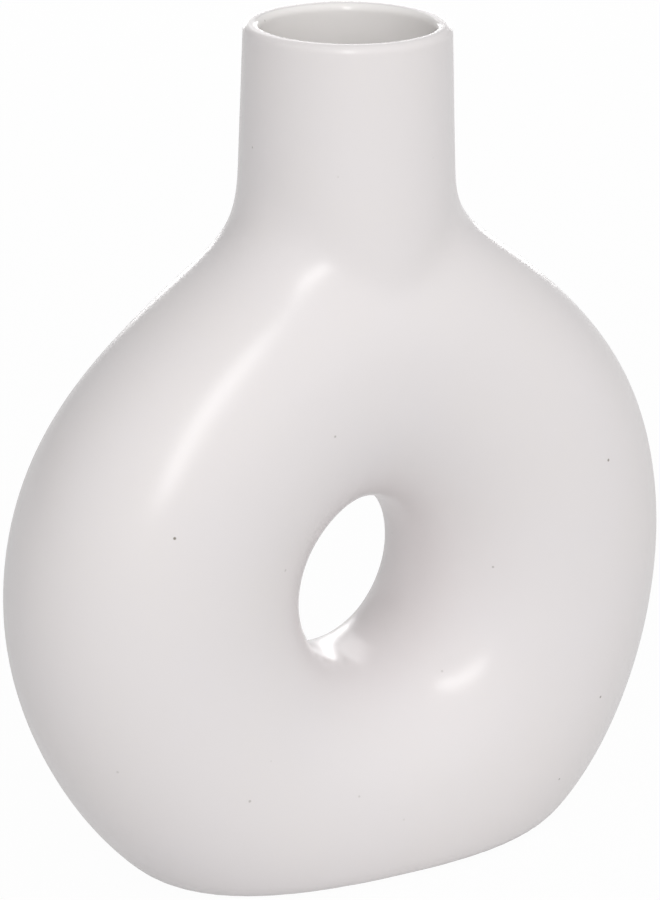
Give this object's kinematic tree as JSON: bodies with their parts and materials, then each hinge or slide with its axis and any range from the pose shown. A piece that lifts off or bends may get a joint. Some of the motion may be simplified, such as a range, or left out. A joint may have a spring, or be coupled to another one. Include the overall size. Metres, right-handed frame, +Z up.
{
  "type": "donut vase",
  "caption": "Upright ring-shaped ceramic flower vase with an open centre, short round neck and flat foot, satin white glaze.",
  "frame": {"origin": "middle of the foot, on the surface that the vase stands on", "axes": "+Z up along the neck, +X across the ring's width, the hole through the ring runs along Y and the front faces -Y"},
  "size_m": [0.1776, 0.0708, 0.215],
  "materials": {
    "fired_clay": "matt, unglazed",
    "satin_glaze": "satin",
    "liner_glaze": "gloss"
  },
  "bodies": {
    "root": {"front_half": "fired_clay", "back_half": "fired_clay", "neck": "fired_clay", "outer_glaze": "satin_glaze", "liner_glaze": "liner_glaze"}
  },
  "joints": []
}
